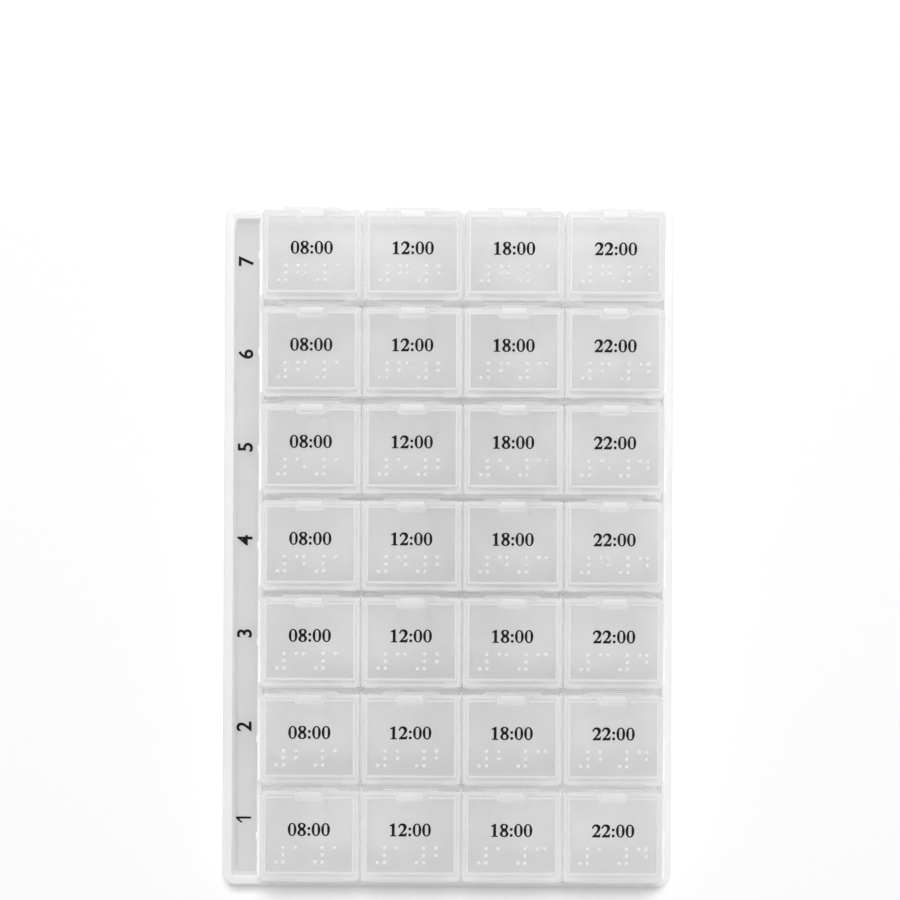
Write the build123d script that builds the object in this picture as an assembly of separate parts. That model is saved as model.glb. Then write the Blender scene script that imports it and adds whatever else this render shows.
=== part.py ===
from build123d import *
from math import cos, hypot, pi, radians, sqrt, tan
import os

# Weekly pill organizer: a shallow tray, seven lift-out day boxes and four hinged lids on each box.
# Millimetres. +X runs from the first dose to the last, +Y towards the lids' thumb tabs, +Z up.
# The origin is on the table, under the middle of the tray.

# Counts and names
day_count = 7
dose_names = ["morning", "noon", "evening", "night"]

# Day box: four drafted cups in a row
cell_width = 29.5
cell_length = 26.2
cell_corner = 1.0
box_wall = 1.0
end_wall = 1.1
divider = 2.7
box_height = 22.2
box_floor = 1.4
box_corner = 1.2
draft_angle = 0.7
slot_width = 0.7
slot_depth = 5.0
core_width = 1.2
core_web = 1.8
flange_reach = 0.65
flange_height = 2.2
nub_reach = 0.5
nub_length = 3.0

# Lid: plate, thumb tab and plug skirt
lid_thickness = 1.2
lid_corner = 1.0
lid_side_gap = 0.8
lid_overhang = 0.35
tab_width = 18.5
tab_slant = 0.75
tab_reach = 0.7
tab_drop = 0.3
skirt_thickness = 0.7
skirt_depth = 2.4
skirt_clearance = 0.25
skirt_back_clearance = 1.2

# Hinge: a bar left standing across a notch in the back wall, and a snap-on hook under the lid
bar_radius = 0.45
bar_clearance = 0.05
bar_drop = 0.5
hook_wall = 0.8
hook_width = 20.5
hook_corner = 0.6
hook_drop = 0.3
hook_lip = 0.1
notch_clearance = 0.25
heel_relief = 0.3

# Latch: a tongue under the tab that snaps into a pocket in the front wall
tongue_width = 7.0
tongue_thickness = 1.3
tongue_length = 5.0
tongue_corner = 1.2
tongue_inset = 0.2
pocket_side_clearance = 0.3
pocket_gap = 0.4
pocket_end_clearance = 1.5
pocket_wall = 1.1
pocket_corner = 0.8
pocket_slope = 1.6
skirt_pocket_clearance = 0.3
snap_height = 0.25
snap_length = 0.9
snap_gap = 0.4
snap_from_tip = 0.5

# Tray
row_gap = 1.9
tray_floor = 1.6
tray_wall = 1.5
tray_height = 11.0
tray_corner = 2.5
rim_lip = 1.6
rim_thickness = 1.5
rim_edge = 0.4
label_width = 7.6
label_height = 6.0
label_thickness = 1.5
label_rib = 1.6
label_rib_rise = 1.2
bay_side_gap = 1.6
bay_front_gap = 0.45
bay_back_gap = 2.45
row_rib_thickness = 1.5
row_rib_height = 4.4
guide_thickness = 1.2
guide_clearance = 0.5
guide_drop = 1.0
guide_spacing = 17.0
hole_width = 42.0
hole_length = 21.5
hole_corner = 3.6
hole_corner_ease = 1.4

# Sizes that follow from those above
dose_count = len(dose_names)
column_pitch = cell_width + divider
box_length = dose_count * cell_width + (dose_count - 1) * divider + 2 * end_wall
box_width = cell_length + 2 * box_wall
rim_z = tray_floor + box_height
lid_top = rim_z + lid_thickness
lid_width = column_pitch - lid_side_gap
lid_length = box_width + 2 * lid_overhang
row_pitch = lid_length + row_gap
column_x = [(i - (dose_count - 1) / 2) * column_pitch for i in range(dose_count)]

bar_y = -box_width / 2 + box_wall / 2
bar_z = rim_z - bar_drop
hook_bore = bar_radius + bar_clearance
hook_half = hook_bore + hook_wall
hook_reach = hypot(hook_half, hook_half - hook_corner)
notch_half = hook_width / 2 + notch_clearance
notch_z = bar_z - hook_reach - notch_clearance

pocket_half = tongue_width / 2 + pocket_side_clearance
pocket_block_half = pocket_half + pocket_wall
tongue_front = box_width / 2 - tongue_inset
tongue_back = tongue_front - tongue_thickness
tongue_tip = rim_z - tongue_length
pocket_back = tongue_back - pocket_gap
pocket_inner = pocket_back - pocket_wall
pocket_z = tongue_tip - pocket_end_clearance
snap_z = tongue_tip + snap_from_tip
catch_z = snap_z + snap_length + snap_gap

bay_length = (day_count - 1) * row_pitch + box_width + bay_front_gap + bay_back_gap
bay_width = box_length + 2 * bay_side_gap
body_width = 2 * tray_wall + label_width + label_rib + bay_width
body_length = 2 * tray_wall + bay_length
label_left = -body_width / 2 + tray_wall
rib_left = label_left + label_width
bay_left = rib_left + label_rib
bay_right = bay_left + bay_width
bay_back = -body_length / 2 + tray_wall
bay_front = bay_back + bay_length
box_x = (bay_left + bay_right) / 2
first_row_y = bay_back + bay_back_gap + box_width / 2
row_y = [first_row_y + i * row_pitch for i in range(day_count)]


def span(x0, x1, y0, y1, z0, z1):
    """A block between two corners."""
    return Pos((x0 + x1) / 2, (y0 + y1) / 2, (z0 + z1) / 2) * Box(x1 - x0, y1 - y0, z1 - z0)


def eased_rectangle(width, length, corner, ease):
    """A rectangle with its corners cut, and the cuts' own corners eased."""
    outline = chamfer(Rectangle(width, length).vertices(), corner)
    return chamfer(outline.vertices(), ease)


def along_x(points, half_length):
    """A prism along X, from its outline in Y and Z."""
    return extrude(Plane.YZ * Polygon(*points, align=None), half_length, both=True)


def drafted(width, length, corner, z_top, z_bottom):
    """A block with cut corners, full size at the top, that narrows downwards by the draft."""
    height = z_top - z_bottom
    inset = height * tan(radians(draft_angle))
    block = Wedge(width, height, length, inset, inset, width - inset, length - inset)
    block = Pos(0, 0, (z_top + z_bottom) / 2) * Rot(-90, 0, 0) * block
    corners = block.edges().filter_by(lambda edge: abs(edge.tangent_at(0).Z) > cos(pi / 4))
    return chamfer(corners, corner)


def make_hinge_bar():
    """Hinge bar across its notch: round at the top and back, where the hook bears, and flat-sided elsewhere."""
    flat = bar_radius * cos(pi / 4)
    bearing = RadiusArc((-bar_radius, 0), (0, bar_radius), bar_radius)
    flats = Polyline((0, bar_radius), (flat, flat), (bar_radius, 0), (flat, -flat), (-flat, -flat), (-bar_radius, 0))
    outline = make_face([bearing, flats])
    hinge_line = Plane(origin=(0, bar_y, bar_z), x_dir=(0, 1, 0), z_dir=(1, 0, 0))
    return extrude(hinge_line * outline, notch_half, both=True)


def make_pocket():
    """Latch pocket behind the front wall: a block with a sloped underside, before its recess is cut."""
    wall_y = box_width / 2 - box_wall / 2
    bottom = pocket_z - pocket_wall
    outline = [
        (wall_y, rim_z),
        (wall_y, bottom - pocket_slope),
        (pocket_inner, bottom),
        (pocket_inner, rim_z),
    ]
    block = along_x(outline, pocket_block_half)
    return chamfer(block.edges().filter_by(Axis.Z).group_by(Axis.Y)[0], pocket_corner)


def make_snap(face_y, z, rise):
    """Outline of a snap ridge on an upright face, standing out by the rise along Y."""
    middle = z + snap_length / 2
    return [(face_y, z), (face_y + rise, middle), (face_y, z + snap_length), (face_y - rise, middle)]


def make_flange():
    """Rim flange at the right end of a day box, with the nub in its middle."""
    wall_x = box_length / 2 - end_wall / 2
    flange_x = box_length / 2 + flange_reach
    nub_x = flange_x + nub_reach
    half = box_width / 2 - box_corner
    nub_half = nub_length / 2
    outline = [
        (wall_x, -half),
        (flange_x, -half),
        (flange_x, -nub_half),
        (nub_x, -nub_half + nub_reach),
        (nub_x, nub_half - nub_reach),
        (flange_x, nub_half),
        (flange_x, half),
        (wall_x, half),
    ]
    return extrude(Pos(0, 0, rim_z - flange_height) * Polygon(*outline, align=None), flange_height)


def make_day_box():
    """Four cups with their hinge bars and latch pockets, centred on its row, standing on the tray floor."""
    box = drafted(box_length, box_width, box_corner, rim_z, tray_floor)
    cup = drafted(cell_width, cell_length, cell_corner, rim_z, tray_floor + box_floor)
    pocket = make_pocket()
    recess = span(-pocket_half, pocket_half, pocket_back, box_width, pocket_z, lid_top)
    catch = along_x(make_snap(pocket_back, catch_z, snap_height), pocket_half)
    notch = span(-notch_half, notch_half, -box_width, bar_y + box_wall, notch_z, lid_top)
    bar = make_hinge_bar()
    for x in column_x:
        box -= Pos(x, 0, 0) * cup
        box += Pos(x, 0, 0) * pocket
        box -= Pos(x, 0, 0) * (recess + notch)
        box += Pos(x, 0, 0) * catch
        box += Pos(x, 0, 0) * bar
    slot_z = rim_z - slot_depth
    slot = span(-slot_width / 2, slot_width / 2, -box_width, box_width, slot_z, lid_top)
    core = span(-core_width / 2, core_width / 2, -box_width, box_width, 0, slot_z - core_web)
    for left, right in zip(column_x, column_x[1:]):
        box -= Pos((left + right) / 2, 0, 0) * (slot + core)
    flange = make_flange()
    return box + flange + mirror(flange, about=Plane.YZ)


def make_plate():
    """Lid plate with cut corners and the thumb tab along its front edge."""
    outline = chamfer(Rectangle(lid_width, lid_length).vertices(), lid_corner)
    plate = extrude(Pos(0, 0, rim_z) * outline, lid_thickness)
    front = lid_length / 2
    half = tab_width / 2
    tab_outline = [
        (-half, front - lid_corner),
        (half, front - lid_corner),
        (half, front),
        (half - tab_slant, front + tab_reach),
        (-half + tab_slant, front + tab_reach),
        (-half, front),
    ]
    return plate + extrude(Pos(0, 0, rim_z) * Polygon(*tab_outline, align=None), lid_thickness - tab_drop)


def make_skirt():
    """Plug skirt that drops into the cup, open in front where the latch pocket is."""
    half = cell_width / 2 - skirt_clearance
    front = cell_length / 2 - skirt_clearance
    back = -cell_length / 2 + skirt_back_clearance
    corner = cell_corner - skirt_clearance * (2 - sqrt(2))
    ring = chamfer(Rectangle(2 * half, front - back).vertices(), corner)
    ring -= Rectangle(2 * (half - skirt_thickness), front - back - 2 * skirt_thickness)
    ring = Pos(0, (front + back) / 2) * ring
    gap = pocket_block_half + skirt_pocket_clearance
    ring -= Pos(0, front) * Rectangle(2 * gap, 4 * skirt_thickness)
    return extrude(Pos(0, 0, rim_z - skirt_depth) * ring, skirt_depth)


def make_tongue():
    """Latch tongue under the tab, with its snap ridge on the inner face."""
    half = tongue_width / 2
    outline = [
        (-half, rim_z),
        (-half, tongue_tip + tongue_corner),
        (-half + tongue_corner, tongue_tip),
        (half - tongue_corner, tongue_tip),
        (half, tongue_tip + tongue_corner),
        (half, rim_z),
    ]
    face = Plane(origin=(0, tongue_back, 0), x_dir=(1, 0, 0), z_dir=(0, -1, 0))
    tongue = extrude(face * Polygon(*outline, align=None), -tongue_thickness)
    return tongue + along_x(make_snap(tongue_back, snap_z, -snap_height), half - tongue_corner)


def make_lid():
    """Closed lid over one cup, centred on the cup."""
    lid = make_plate() + make_skirt() + make_tongue()
    relief_y = bar_y + box_wall
    lid -= span(-lid_width, lid_width, -lid_length, relief_y, rim_z, rim_z + heel_relief)
    top = lid_top - hook_drop
    hook_outline = [
        (bar_y - hook_half, top - hook_corner),
        (bar_y - hook_half, bar_z - hook_half + hook_corner),
        (bar_y - hook_half + hook_corner, bar_z - hook_half),
        (bar_y + hook_half - hook_corner, bar_z - hook_half),
        (bar_y + hook_half, bar_z - hook_half + hook_corner),
        (bar_y + hook_half, top),
        (bar_y - hook_half + hook_corner, top),
    ]
    lid += along_x(hook_outline, hook_width / 2)
    mouth_outline = [
        (bar_y - hook_bore, bar_z + hook_bore),
        (bar_y - hook_bore, bar_z - hook_bore / 2),
        (bar_y - hook_bore + hook_lip, bar_z - hook_bore),
        (bar_y - hook_bore - hook_lip, bar_z - 2 * hook_half),
        (bar_y + hook_bore + hook_lip, bar_z - 2 * hook_half),
        (bar_y + hook_bore - hook_lip, bar_z - hook_bore),
        (bar_y + hook_bore, bar_z - hook_bore / 2),
        (bar_y + hook_bore, bar_z + hook_bore),
    ]
    return lid - along_x(mouth_outline, hook_width)


def make_tray():
    """Shallow tray with the label ledge on its left, ribs between the rows and push-out holes in its floor."""
    tray = extrude(RectangleRounded(body_width, body_length, tray_corner), tray_height)
    lip = RectangleRounded(body_width + 2 * rim_lip, body_length + 2 * rim_lip, tray_corner + rim_lip)
    lip = extrude(Pos(0, 0, tray_height - rim_thickness) * lip, rim_thickness)
    tray += chamfer(lip.faces().sort_by(Axis.Z)[-1].edges(), rim_edge)
    inside = RectangleRounded(body_width - 2 * tray_wall, bay_length, tray_corner - tray_wall)
    tray -= extrude(Pos(0, 0, tray_floor) * inside, tray_height)

    tray += span(label_left, bay_left, bay_back, bay_front, 0, label_height)
    tray += span(rib_left, bay_left, bay_back, bay_front, 0, label_height + label_rib_rise)
    tray -= span(label_left, rib_left, bay_back, bay_front, 0, label_height - label_thickness)

    rib_half = row_rib_thickness / 2
    for back, front in zip(row_y, row_y[1:]):
        middle = (back + front) / 2
        tray += span(bay_left, bay_right, middle - rib_half, middle + rib_half, 0, tray_floor + row_rib_height)

    guide_half = guide_thickness / 2
    guide_top = tray_height - guide_drop
    reach = bay_side_gap - guide_clearance
    for y in row_y:
        for middle in (y - guide_spacing / 2, y + guide_spacing / 2):
            low = middle - guide_half
            high = middle + guide_half
            tray += span(bay_left, bay_left + reach, low, high, 0, label_height + label_rib_rise)
            tray += span(bay_right - reach, bay_right, low, high, 0, guide_top)
    back_reach = bay_back_gap - guide_clearance
    for x in column_x:
        middle = box_x + x
        tray += span(middle - guide_half, middle + guide_half, bay_back, bay_back + back_reach, 0, guide_top)

    hole = extrude(eased_rectangle(hole_width, hole_length, hole_corner, hole_corner_ease), tray_floor)
    for y in row_y:
        for x in (box_x - column_pitch, box_x + column_pitch):
            tray -= Pos(x, y, 0) * hole
    return tray


os.makedirs("parts", exist_ok=True)
export_step(make_tray(), "parts/tray.step")
day_box = make_day_box()
lid = make_lid()
for day, y in enumerate(row_y, start=1):
    export_step(Pos(box_x, y, 0) * day_box, f"parts/day_box_{day}.step")
    for dose, x in zip(dose_names, column_x):
        export_step(Pos(box_x + x, y, 0) * lid, f"parts/lid_day{day}_{dose}.step")
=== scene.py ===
import bmesh
import bpy
from math import pi, radians
from mathutils import Matrix, Vector


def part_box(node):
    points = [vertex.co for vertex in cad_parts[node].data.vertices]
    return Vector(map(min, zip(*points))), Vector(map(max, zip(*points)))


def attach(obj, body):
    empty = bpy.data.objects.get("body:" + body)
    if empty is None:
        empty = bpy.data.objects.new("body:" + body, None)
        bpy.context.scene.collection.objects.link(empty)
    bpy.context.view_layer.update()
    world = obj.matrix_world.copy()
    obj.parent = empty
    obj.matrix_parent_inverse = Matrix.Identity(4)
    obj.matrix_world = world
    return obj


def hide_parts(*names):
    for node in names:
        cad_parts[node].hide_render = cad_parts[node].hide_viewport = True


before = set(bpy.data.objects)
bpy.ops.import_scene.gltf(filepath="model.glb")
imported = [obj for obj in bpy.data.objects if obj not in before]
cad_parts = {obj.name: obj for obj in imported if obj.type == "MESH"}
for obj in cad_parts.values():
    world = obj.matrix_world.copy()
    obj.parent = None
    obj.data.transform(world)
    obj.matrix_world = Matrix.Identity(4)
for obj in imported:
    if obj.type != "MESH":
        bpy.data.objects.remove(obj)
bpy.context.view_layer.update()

mm = 0.001

# The tray is one shallow moulding of natural polypropylene, milky and see-through, with a rolled lip.
# Its edges come rounded out of the mould: the ones that show are rounded here on a copy of the solid.
# Along a rib or the lip the plastic is deep and white, and thin sheet lets what lies behind it show.
weld = 0.001 * mm
flat_angle = radians(1)
edge_angle = radians(20)
smooth_angle = radians(32)
level_normal = 0.99
wall_normal = 0.5
upward_normal = 0.3
edge_segments = 2
tray_edge_radius = 0.18 * mm
tray_foot_radius = 0.6 * mm
tray_foot_segments = 3
tray_border = 4.5 * mm
ledge_left = -70.35 * mm
ledge_right = -62.75 * mm
ledge_z = 6 * mm
ledge_depth = 2 * mm
thin, wall, thick = range(3)
light_passed = {thin: 0.5, wall: 0.6, thick: 0.25}
cloud_scale = 55
cloud_detail = 3
cloud_low = 0.3
cloud_high = 0.7
etch_scale = 1800
etch_detail = 2
etch_depth = 0.05 * mm
tray_pale = (0.92, 0.92, 0.922)
tray_deep = (0.88, 0.882, 0.887)
tray_gloss = (0.35, 0.5)
tray_grain = 0.25
tray_covers = (0.4, 0.45, 0.85)
# The label ledge has a greyer, more opaque copy of the tray's plastic: painted shade, standing in for the
# shade of the hollow under the ledge.
ledge_painted_shade_pale = (0.75, 0.75, 0.755)
ledge_painted_shade_deep = (0.7, 0.702, 0.708)
ledge_painted_shade_cover = 0.5


def solid_copy(node):
    """A CAD node's mesh, welded and with its flat faces whole, ready to be worked on."""
    mesh = bmesh.new()
    mesh.from_mesh(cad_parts[node].data)
    bmesh.ops.remove_doubles(mesh, verts=mesh.verts, dist=weld)
    bmesh.ops.dissolve_limit(mesh, angle_limit=flat_angle, verts=mesh.verts, edges=mesh.edges)
    return mesh


def outer_edges(mesh, lowest, highest):
    """The edges of a mesh that stand out, between two heights."""
    between = [edge for edge in mesh.edges if all(lowest <= vert.co.z <= highest for vert in edge.verts)]
    sharp = [edge for edge in between if len(edge.link_faces) == 2 and edge.is_convex]
    return [edge for edge in sharp if edge.calc_face_angle() > edge_angle]


def round_edges(mesh, edges, radius, segments):
    """Rounds some edges of a mesh under construction."""
    bmesh.ops.bevel(mesh, geom=edges, offset=radius, affect="EDGES", segments=segments, profile=0.5,
                    material=-1, clamp_overlap=True)


def grade(mesh, is_thick):
    """Gives each face its grade of plastic: an edge of deep plastic, an upright wall, or thin sheet."""
    mesh.normal_update()
    for face in mesh.faces:
        if is_thick(face):
            face.material_index = thick
        else:
            face.material_index = wall if abs(face.normal.z) < wall_normal else thin


def finished(name, mesh, *materials):
    """The finished object of a mesh under construction, smooth over its rounded edges."""
    data = bpy.data.meshes.new(name)
    mesh.to_mesh(data)
    mesh.free()
    for material in materials:
        data.materials.append(material)
    data.shade_smooth()
    data.set_sharp_from_angle(angle=smooth_angle)
    piece = bpy.data.objects.new(name, data)
    bpy.context.collection.objects.link(piece)
    return piece


def repeated(name, piece, shift):
    """The same piece once more, at another place."""
    data = piece.data.copy()
    data.name = name
    data.transform(Matrix.Translation(shift))
    copy = bpy.data.objects.new(name, data)
    bpy.context.collection.objects.link(copy)
    return copy


def milky_plastic(name, pale, deep, roughness, grain, cover, passed):
    """Natural polypropylene: cloudy, finely etched, and passing on a part of the light that it stops."""
    material = bpy.data.materials.new(name)
    material.use_nodes = True
    nodes = material.node_tree.nodes
    links = material.node_tree.links
    shader = nodes["Principled BSDF"]
    place = nodes.new("ShaderNodeTexCoord")
    cloud = nodes.new("ShaderNodeTexNoise")
    cloud.inputs["Scale"].default_value = cloud_scale
    cloud.inputs["Detail"].default_value = cloud_detail
    tint = nodes.new("ShaderNodeValToRGB")
    tint.color_ramp.elements[0].position = cloud_low
    tint.color_ramp.elements[0].color = (*deep, 1)
    tint.color_ramp.elements[1].position = cloud_high
    tint.color_ramp.elements[1].color = (*pale, 1)
    gloss = nodes.new("ShaderNodeMapRange")
    gloss.inputs["To Min"].default_value = roughness[0]
    gloss.inputs["To Max"].default_value = roughness[1]
    etch = nodes.new("ShaderNodeTexNoise")
    etch.inputs["Scale"].default_value = etch_scale
    etch.inputs["Detail"].default_value = etch_detail
    bump = nodes.new("ShaderNodeBump")
    bump.inputs["Strength"].default_value = grain
    bump.inputs["Distance"].default_value = etch_depth
    glow = nodes.new("ShaderNodeBsdfTranslucent")
    body = nodes.new("ShaderNodeMixShader")
    body.inputs["Fac"].default_value = passed
    clear = nodes.new("ShaderNodeBsdfTransparent")
    sheet = nodes.new("ShaderNodeMixShader")
    sheet.inputs["Fac"].default_value = cover
    links.new(place.outputs["Object"], cloud.inputs["Vector"])
    links.new(place.outputs["Object"], etch.inputs["Vector"])
    links.new(cloud.outputs["Fac"], tint.inputs["Fac"])
    links.new(tint.outputs["Color"], shader.inputs["Base Color"])
    links.new(tint.outputs["Color"], glow.inputs["Color"])
    links.new(cloud.outputs["Fac"], gloss.inputs["Value"])
    links.new(gloss.outputs["Result"], shader.inputs["Roughness"])
    links.new(etch.outputs["Fac"], bump.inputs["Height"])
    links.new(bump.outputs["Normal"], shader.inputs["Normal"])
    links.new(shader.outputs["BSDF"], body.inputs[1])
    links.new(glow.outputs["BSDF"], body.inputs[2])
    links.new(clear.outputs["BSDF"], sheet.inputs[1])
    links.new(body.outputs["Shader"], sheet.inputs[2])
    links.new(sheet.outputs["Shader"], nodes["Material Output"].inputs["Surface"])
    return material


def plastic_grades(piece, pale, deep, roughness, grain, covers):
    """The three grades of a piece's plastic: thin sheet, upright wall and deep edge."""
    names = [f"{piece}_sheet_plastic", f"{piece}_wall_plastic", f"{piece}_edge_plastic"]
    return [milky_plastic(names[step], pale, deep, roughness, grain, covers[step], light_passed[step])
            for step in (thin, wall, thick)]


def on_ledge(face):
    """True on the label ledge, above and below: the faces that take the greyer plastic of painted shade."""
    middle = face.calc_center_median()
    in_ledge = ledge_left < middle.x < ledge_right and ledge_z - ledge_depth < middle.z < ledge_z + weld
    return in_ledge and abs(face.normal.z) > level_normal


def on_tray_edge(face):
    """True on the lip and on the top of a rib or guide."""
    return face.normal.z > upward_normal and face.calc_center_median().z > ledge_z - tray_edge_radius


tray_low, tray_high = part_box("tray")
tray_plastics = plastic_grades("tray", tray_pale, tray_deep, tray_gloss, tray_grain, tray_covers)
ledge_painted_shade_plastic = milky_plastic("tray_ledge_painted_shade_plastic", ledge_painted_shade_pale, ledge_painted_shade_deep, tray_gloss, tray_grain,
                              ledge_painted_shade_cover, light_passed[thin])
ledge = len(tray_plastics)
tray_mesh = solid_copy("tray")
foot_edges = []
for edge in outer_edges(tray_mesh, tray_low.z - weld, tray_low.z + weld):
    middle = (edge.verts[0].co + edge.verts[1].co) / 2
    if abs(middle.x) > tray_high.x - tray_border or abs(middle.y) > tray_high.y - tray_border:
        foot_edges.append(edge)
round_edges(tray_mesh, foot_edges, tray_foot_radius, tray_foot_segments)
top_edges = outer_edges(tray_mesh, ledge_z - weld, tray_high.z + weld)
round_edges(tray_mesh, top_edges, tray_edge_radius, edge_segments)
grade(tray_mesh, on_tray_edge)
# The ledge's faces, above and below, take the greyer plastic: painted shade of the hollow under the ledge.
for face in tray_mesh.faces:
    if on_ledge(face):
        face.material_index = ledge
tray = finished("tray_moulding", tray_mesh, *tray_plastics, ledge_painted_shade_plastic)
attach(tray, "tray")
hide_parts("tray")

# Seven day boxes of the same plastic stand in the tray, each moulded in one piece with its four cups.
# Their rims are rounded where a finger meets them, and each box sits a hair clear of tray and lids.
day_count = 7
rim_edge_radius = 0.12 * mm
rim_depth = 1 * mm
seat_gap = 0.03 * mm
box_pale = (0.955, 0.955, 0.957)
box_deep = (0.93, 0.932, 0.936)
box_gloss = (0.3, 0.45)
box_grain = 0.2
box_covers = (0.36, 0.32, 0.9)
box_plastics = plastic_grades("box", box_pale, box_deep, box_gloss, box_grain, box_covers)
box_low, box_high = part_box("day_box_1")


def on_rim(face):
    """True on the upper side of a box's rim."""
    return face.normal.z > upward_normal and face.calc_center_median().z > box_high.z - rim_depth


box_mesh = solid_copy("day_box_1")
rim_edges = outer_edges(box_mesh, box_high.z - weld, box_high.z + weld)
round_edges(box_mesh, rim_edges, rim_edge_radius, edge_segments)
grade(box_mesh, on_rim)
for vert in box_mesh.verts:
    if vert.co.z > box_high.z - weld:
        vert.co.z -= seat_gap
    elif vert.co.z < box_low.z + weld:
        vert.co.z += seat_gap
first_box = finished("day_box_1_moulding", box_mesh, *box_plastics)
for day in range(1, day_count + 1):
    node = f"day_box_{day}"
    day_box = first_box
    if day > 1:
        day_box = repeated(f"{node}_moulding", first_box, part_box(node)[0] - box_low)
    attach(day_box, node)
    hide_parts(node)

# Twenty-eight lids of the same plastic, one over each cup, snapped on to the hinge bars behind the cups.
# The plate is rounded at its corners and along its upper edge, with the thumb tab and the hinge hook lower.
# It is see-through in its window and white over the skirt and the latch, where the plastic goes deep.
dose_names = ["morning", "noon", "evening", "night"]
hinge_overhang = 0.45 * mm
plate_length = 28.9 * mm
plate_thickness = 1.2 * mm
corner_radius = 0.55 * mm
corner_segments = 3
lid_edge_radius = 0.22 * mm
lid_edge_normals = (0.2, 0.9)
skirt_half = 13.8 * mm
skirt_back = -11.2 * mm
skirt_front = 12.15 * mm
skirt_thickness = 0.7 * mm
skirt_gap_half = 5.2 * mm
latch_half = 3.8 * mm
latch_back = 12.2 * mm
lid_pale = (0.87, 0.87, 0.872)
lid_deep = (0.83, 0.832, 0.837)
lid_gloss = (0.36, 0.5)
lid_grain = 0.15
lid_covers = (0.4, 0.35, 0.8)
lid_plastics = plastic_grades("lid", lid_pale, lid_deep, lid_gloss, lid_grain, lid_covers)


def lid_nodes():
    """Every lid's day, dose and node."""
    return [(day, dose, f"lid_day{day}_{dose}") for day in range(1, day_count + 1) for dose in dose_names]


def plate_middle(node):
    """The middle of a lid plate's upper face."""
    low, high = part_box(node)
    return Vector(((low.x + high.x) / 2, low.y + hinge_overhang + plate_length / 2, high.z))


def is_upper_face(face, top):
    """True on the flat upper face of a plate."""
    return face.normal.z > level_normal and abs(face.calc_center_median().z - top) < weld


def cut_plate(mesh, top, point, direction):
    """Cuts the upper face of a plate along a line."""
    parts = set()
    for face in mesh.faces:
        if is_upper_face(face, top):
            parts.update([face, *face.edges, *face.verts])
    bmesh.ops.bisect_plane(mesh, geom=list(parts), plane_co=point, plane_no=direction)


def is_lid_edge(face, middle):
    """True over the skirt and the latch, on rounded edges, and under the skirt and the tongue."""
    place = face.calc_center_median() - middle
    if is_upper_face(face, middle.z):
        aside = abs(place.x)
        in_window = aside < skirt_half and skirt_back < place.y < skirt_front
        in_skirt = (aside < skirt_half + skirt_thickness
                    and skirt_back - skirt_thickness < place.y < skirt_front + skirt_thickness)
        in_gap = aside < skirt_gap_half and place.y > skirt_front
        on_latch = aside < latch_half and place.y > latch_back
        return on_latch or in_skirt and not in_window and not in_gap
    on_round = lid_edge_normals[0] < face.normal.z < lid_edge_normals[1]
    below_plate = place.z < -plate_thickness - weld
    return on_round or face.normal.z < -upward_normal and below_plate


first_node = "lid_day1_morning"
first_middle = plate_middle(first_node)
plate_top = first_middle.z
lid_mesh = solid_copy(first_node)
corner_edges = []
for edge in outer_edges(lid_mesh, plate_top - plate_thickness - weld, plate_top + weld):
    ends = [vert.co for vert in edge.verts]
    if (ends[0].xy - ends[1].xy).length < weld and max(ends[0].z, ends[1].z) > plate_top - weld:
        corner_edges.append(edge)
round_edges(lid_mesh, corner_edges, corner_radius, corner_segments)
lid_mesh.normal_update()
upper_edges = outer_edges(lid_mesh, plate_top - plate_thickness + lid_edge_radius, plate_top + weld)
round_edges(lid_mesh, upper_edges, lid_edge_radius, edge_segments)
lid_mesh.normal_update()
for x in (latch_half, skirt_gap_half, skirt_half, skirt_half + skirt_thickness):
    cut_plate(lid_mesh, plate_top, first_middle + Vector((x, 0, 0)), (1, 0, 0))
    cut_plate(lid_mesh, plate_top, first_middle - Vector((x, 0, 0)), (1, 0, 0))
for y in (skirt_back - skirt_thickness, skirt_back, skirt_front, latch_back, skirt_front + skirt_thickness):
    cut_plate(lid_mesh, plate_top, first_middle + Vector((0, y, 0)), (0, 1, 0))
grade(lid_mesh, lambda face: is_lid_edge(face, first_middle))
first_lid = finished(f"{first_node}_moulding", lid_mesh, *lid_plastics)
for day, dose, node in lid_nodes():
    lid = first_lid
    if node != first_node:
        lid = repeated(f"{node}_moulding", first_lid, plate_middle(node) - first_middle)
    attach(lid, node)
    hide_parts(node)

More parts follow.
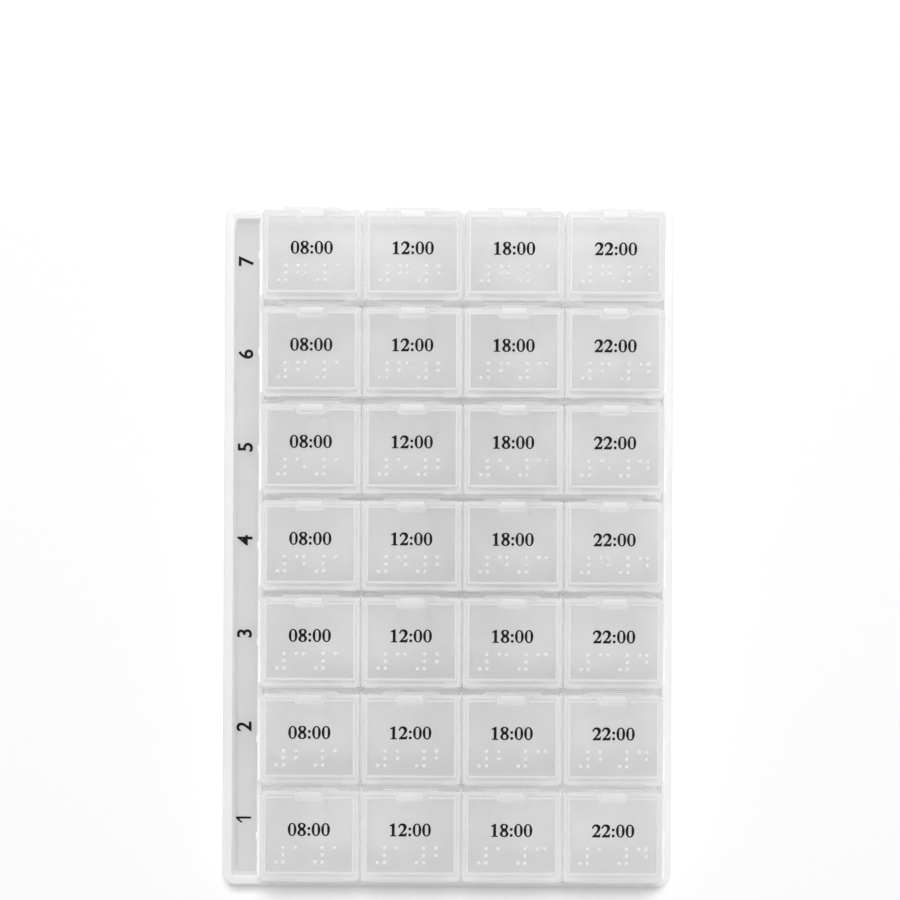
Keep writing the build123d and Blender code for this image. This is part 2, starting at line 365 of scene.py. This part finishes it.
# Raised dots moulded into every lid below its print: the day and the dose as Braille numbers.
# Each dot is a low dome of the lid's plastic, whiter where it is thicker, sunk a little into the plate.
dot_radius = 0.65 * mm
dot_rise = 0.4 * mm
dot_sunk = 0.05 * mm
dot_pitch = 2.3 * mm
sign_pitch = 6.2 * mm
dots_shift = -5.8 * mm
dot_sides = 10
dot_rings = 6
cell_rows = 3
number_sign = (3, 4, 5, 6)
dots_of = {1: (1,), 2: (1, 2), 3: (1, 4), 4: (1, 4, 5), 5: (1, 5), 6: (1, 2, 4), 7: (1, 2, 4, 5)}
dot_pale = (0.965, 0.965, 0.967)
dot_deep = (0.945, 0.947, 0.95)
dot_cover = 0.65
dot_plastic = milky_plastic("lid_dot_plastic", dot_pale, dot_deep, lid_gloss, lid_grain,
                            dot_cover, light_passed[thin])
for day, dose, node in lid_nodes():
    middle = plate_middle(node)
    dots_mesh = bmesh.new()
    signs = [number_sign, dots_of[day], number_sign, dots_of[dose_names.index(dose) + 1]]
    for place, sign in enumerate(signs):
        sign_x = (place - (len(signs) - 1) / 2) * sign_pitch
        for dot in sign:
            column, row = divmod(dot - 1, cell_rows)
            dot_x = sign_x + (column - 0.5) * dot_pitch
            dot_y = dots_shift + (1 - row) * dot_pitch
            seat = Matrix.Translation(middle + Vector((dot_x, dot_y, 0)))
            dome = seat @ Matrix.Diagonal((dot_radius, dot_radius, dot_rise, 1))
            bmesh.ops.create_uvsphere(dots_mesh, u_segments=dot_sides, v_segments=dot_rings, radius=1,
                                      matrix=dome)
    whole = dots_mesh.verts[:] + dots_mesh.edges[:] + dots_mesh.faces[:]
    cut = bmesh.ops.bisect_plane(dots_mesh, geom=whole, plane_co=middle - Vector((0, 0, dot_sunk)),
                                 plane_no=(0, 0, 1), clear_inner=True)
    rims = [item for item in cut["geom_cut"] if isinstance(item, bmesh.types.BMEdge)]
    bmesh.ops.edgeloop_fill(dots_mesh, edges=rims)
    bmesh.ops.recalc_face_normals(dots_mesh, faces=dots_mesh.faces)
    dots = finished(f"dots_day{day}_{dose}", dots_mesh, dot_plastic)
    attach(dots, node)

# Black figures are printed on each lid: the hour of the dose, in a face with serifs.
# The print is a film of ink on the plate, drawn from outlines one figure high.
ink_film = 0.03 * mm
ink_sunk = 0.01 * mm
hour_height = 4.2 * mm
hour_shift = 2.3 * mm
ink_roughness = 0.6
ink_sheen = 0.1
fleck_scale = 2500
ink_dark = (0.002, 0.002, 0.002, 1)
ink_pale = (0.008, 0.008, 0.009, 1)
curve_steps = 5
outline_weld = 1e-5
hours = {"morning": "08:00", "noon": "12:00", "evening": "18:00", "night": "22:00"}
ink = bpy.data.materials.new("printed_ink")
ink.use_nodes = True
ink_shader = ink.node_tree.nodes["Principled BSDF"]
ink_shader.inputs["Roughness"].default_value = ink_roughness
ink_shader.inputs["Specular IOR Level"].default_value = ink_sheen
ink_place = ink.node_tree.nodes.new("ShaderNodeTexCoord")
ink_fleck = ink.node_tree.nodes.new("ShaderNodeTexNoise")
ink_fleck.inputs["Scale"].default_value = fleck_scale
ink_tone = ink.node_tree.nodes.new("ShaderNodeValToRGB")
ink_tone.color_ramp.elements[0].color = ink_dark
ink_tone.color_ramp.elements[1].color = ink_pale
ink.node_tree.links.new(ink_place.outputs["Object"], ink_fleck.inputs["Vector"])
ink.node_tree.links.new(ink_fleck.outputs["Fac"], ink_tone.inputs["Fac"])
ink.node_tree.links.new(ink_tone.outputs["Color"], ink_shader.inputs["Base Color"])


def corners(*points):
    """Outline with straight sides."""
    return [(*point, "VECTOR") for point in points]


def rounds(*points):
    """Outline that runs smoothly through its points."""
    return [(*point, "AUTO") for point in points]


def ring(x, y, half_width, half_height):
    """Outline of an oval, by its four round points."""
    return rounds((x + half_width, y), (x, y + half_height), (x - half_width, y), (x, y - half_height))


figure_width = 0.74
colon_width = 0.36
figures = {
    "0": [ring(0.37, 0.5, 0.34, 0.51), ring(0.37, 0.5, 0.125, 0.41)],
    "1": [corners((0.1, 0.85), (0.4, 1.01), (0.49, 1.01), (0.49, 0.1), (0.64, 0.07), (0.64, 0), (0.12, 0),
                  (0.12, 0.07), (0.27, 0.1), (0.27, 0.79), (0.12, 0.77))],
    "2": [rounds((0.04, 0.67), (0.12, 0.92), (0.35, 1.01), (0.59, 0.93), (0.68, 0.72), (0.56, 0.46))
          + corners((0.3, 0.19), (0.54, 0.19), (0.63, 0.3), (0.7, 0.3), (0.64, 0), (0.04, 0), (0.04, 0.08))
          + rounds((0.34, 0.41), (0.44, 0.65), (0.39, 0.8), (0.27, 0.845), (0.17, 0.78))
          + corners((0.13, 0.67))],
    "8": [rounds((0.37, 1.01), (0.62, 0.93), (0.68, 0.76), (0.57, 0.55), (0.71, 0.28), (0.62, 0.07),
                 (0.37, -0.01), (0.12, 0.07), (0.03, 0.26), (0.17, 0.51), (0.06, 0.76), (0.12, 0.93)),
          ring(0.38, 0.785, 0.115, 0.135), ring(0.37, 0.25, 0.13, 0.165)],
    ":": [ring(0.18, 0.12, 0.115, 0.115), ring(0.18, 0.58, 0.115, 0.115)],
    "plain 1": [corners((0.08, 0.7), (0.36, 1), (0.48, 1), (0.48, 0), (0.34, 0), (0.34, 0.79),
                        (0.08, 0.54))],
}


def figure_line(line):
    """A line of figures as one flat curve, one figure high."""
    curve = bpy.data.curves.new("figures", "CURVE")
    curve.dimensions = "2D"
    curve.fill_mode = "FRONT"
    curve.resolution_u = curve_steps
    reach = 0
    for figure in line:
        for outline in figures[figure]:
            spline = curve.splines.new("BEZIER")
            spline.bezier_points.add(len(outline) - 1)
            spline.use_cyclic_u = True
            for point, (x, y, handle) in zip(spline.bezier_points, outline):
                point.co = (reach + x, y, 0)
                point.handle_left_type = handle
                point.handle_right_type = handle
        reach += colon_width if figure == ":" else figure_width
    return curve


def printed(name, curve, height, turn, place):
    """A flat curve or text as a film of ink: scaled to its height, turned and laid on its place."""
    maker = bpy.data.objects.new("outline", curve)
    data = bpy.data.meshes.new_from_object(maker)
    bpy.data.objects.remove(maker)
    mesh = bmesh.new()
    mesh.from_mesh(data)
    bpy.data.meshes.remove(data)
    bmesh.ops.remove_doubles(mesh, verts=mesh.verts, dist=outline_weld)
    xs = [vert.co.x for vert in mesh.verts]
    ys = [vert.co.y for vert in mesh.verts]
    scale = height / (max(ys) - min(ys))
    bmesh.ops.translate(mesh, verts=mesh.verts, vec=(-(min(xs) + max(xs)) / 2, -(min(ys) + max(ys)) / 2, 0))
    bmesh.ops.scale(mesh, verts=mesh.verts, vec=(scale, scale, scale))
    bmesh.ops.rotate(mesh, verts=mesh.verts, matrix=Matrix.Rotation(turn, 3, "Z"))
    bmesh.ops.translate(mesh, verts=mesh.verts, vec=place - Vector((0, 0, ink_sunk)))
    raised = bmesh.ops.extrude_face_region(mesh, geom=mesh.faces[:], use_keep_orig=True)
    upper = [item for item in raised["geom"] if isinstance(item, bmesh.types.BMVert)]
    bmesh.ops.translate(mesh, verts=upper, vec=(0, 0, ink_film))
    bmesh.ops.recalc_face_normals(mesh, faces=mesh.faces)
    return finished(name, mesh, ink)


for day, dose, node in lid_nodes():
    hour_place = plate_middle(node) + Vector((0, hour_shift, 0))
    hour = printed(f"hour_day{day}_{dose}", figure_line(hours[dose]), hour_height, 0, hour_place)
    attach(hour, node)

# Plain day numbers in the same ink stand up the label ledge of the tray, one beside each day box.
# They are turned a quarter to the left, to be read from the side of the tray.
number_height = 5 * mm
number_shift = 0.4 * mm
number_x = -67.2 * mm
number_weight = 0.02
number_steps = 6
for day in range(1, day_count + 1):
    low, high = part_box(f"day_box_{day}")
    numeral = figure_line(["plain 1"])
    if day > 1:
        numeral = bpy.data.curves.new("number", "FONT")
        numeral.body = str(day)
        numeral.resolution_u = number_steps
        numeral.offset = number_weight
    number_place = Vector((number_x, (low.y + high.y) / 2 + number_shift, ledge_z))
    number = printed(f"number_day_{day}", numeral, number_height, pi / 2, number_place)
    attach(number, "tray")

# A plain white floor, just under the tray, and soft light from above and from the far side.
# The floor keeps the shadow along the near edge of the tray, and beyond it everything is white.
# Light goes through many milky walls before it fades, so it gets more bounces than usual.
floor_size = 2
floor_z = -0.3 * mm
floor_tone = (0.97, 0.97, 0.97, 1)
sky_light = 0.42
lamp_place = Vector((0.15, 1.6, 3.5))
lamp_size = 0.9
lamp_power = 97
light_bounces = 24
diffuse_bounces = 8
layers_seen = 40


def seen_rays(nodes, links):
    """1 for the rays that show the sky to the camera, straight or by way of gloss or glass, or else 0."""
    path = nodes.new("ShaderNodeLightPath")
    gloss = nodes.new("ShaderNodeMath")
    gloss.operation = "MAXIMUM"
    glass = nodes.new("ShaderNodeMath")
    glass.operation = "MAXIMUM"
    links.new(path.outputs["Is Camera Ray"], gloss.inputs[0])
    links.new(path.outputs["Is Glossy Ray"], gloss.inputs[1])
    links.new(gloss.outputs["Value"], glass.inputs[0])
    links.new(path.outputs["Is Transmission Ray"], glass.inputs[1])
    return glass.outputs["Value"]


floor_paint = bpy.data.materials.new("white_floor")
floor_paint.use_nodes = True
floor_shader = floor_paint.node_tree.nodes["Principled BSDF"]
floor_shader.inputs["Base Color"].default_value = floor_tone
floor_shader.inputs["Roughness"].default_value = 1
floor_shader.inputs["Specular IOR Level"].default_value = 0
floor_mesh = bmesh.new()
bmesh.ops.create_grid(floor_mesh, x_segments=1, y_segments=1, size=floor_size,
                      matrix=Matrix.Translation((0, 0, floor_z)))
floor = finished("floor", floor_mesh, floor_paint)

scene = bpy.context.scene
scene.view_settings.view_transform = "Standard"
scene.cycles.max_bounces = light_bounces
scene.cycles.diffuse_bounces = diffuse_bounces
scene.cycles.transmission_bounces = light_bounces
scene.cycles.transparent_max_bounces = layers_seen
world = bpy.data.worlds.new("studio")
scene.world = world
world.use_nodes = True
world_nodes = world.node_tree.nodes
world_links = world.node_tree.links
sky = world_nodes["Background"]
sky.inputs["Color"].default_value = (1, 1, 1, 1)
sky_level = world_nodes.new("ShaderNodeMapRange")
sky_level.inputs["To Min"].default_value = sky_light
sky_level.inputs["To Max"].default_value = 1
world_links.new(seen_rays(world_nodes, world_links), sky_level.inputs["Value"])
world_links.new(sky_level.outputs["Result"], sky.inputs["Strength"])

lamp_data = bpy.data.lights.new("window_light", "AREA")
lamp_data.size = lamp_size
lamp_data.energy = lamp_power
lamp = bpy.data.objects.new("window_light", lamp_data)
lamp.location = lamp_place
lamp.rotation_euler = (-lamp_place).to_track_quat("-Z", "Y").to_euler()
bpy.context.collection.objects.link(lamp)

# The camera looks straight down on the lids, with the thumb tabs towards the top of the picture.
# It stands over the upper rows and is turned by a hair, so that the columns lean a little.
view_place = Vector((0.5 * mm, 31.6 * mm, 475 * mm))
view_turn = radians(0.29)
view_lens = 56.7
view_sensor = 36
camera_data = bpy.data.cameras.new("camera")
camera_data.lens = view_lens
camera_data.sensor_width = view_sensor
camera = bpy.data.objects.new("camera", camera_data)
camera.location = view_place
camera.rotation_euler = (0, 0, view_turn)
bpy.context.collection.objects.link(camera)
scene.camera = camera
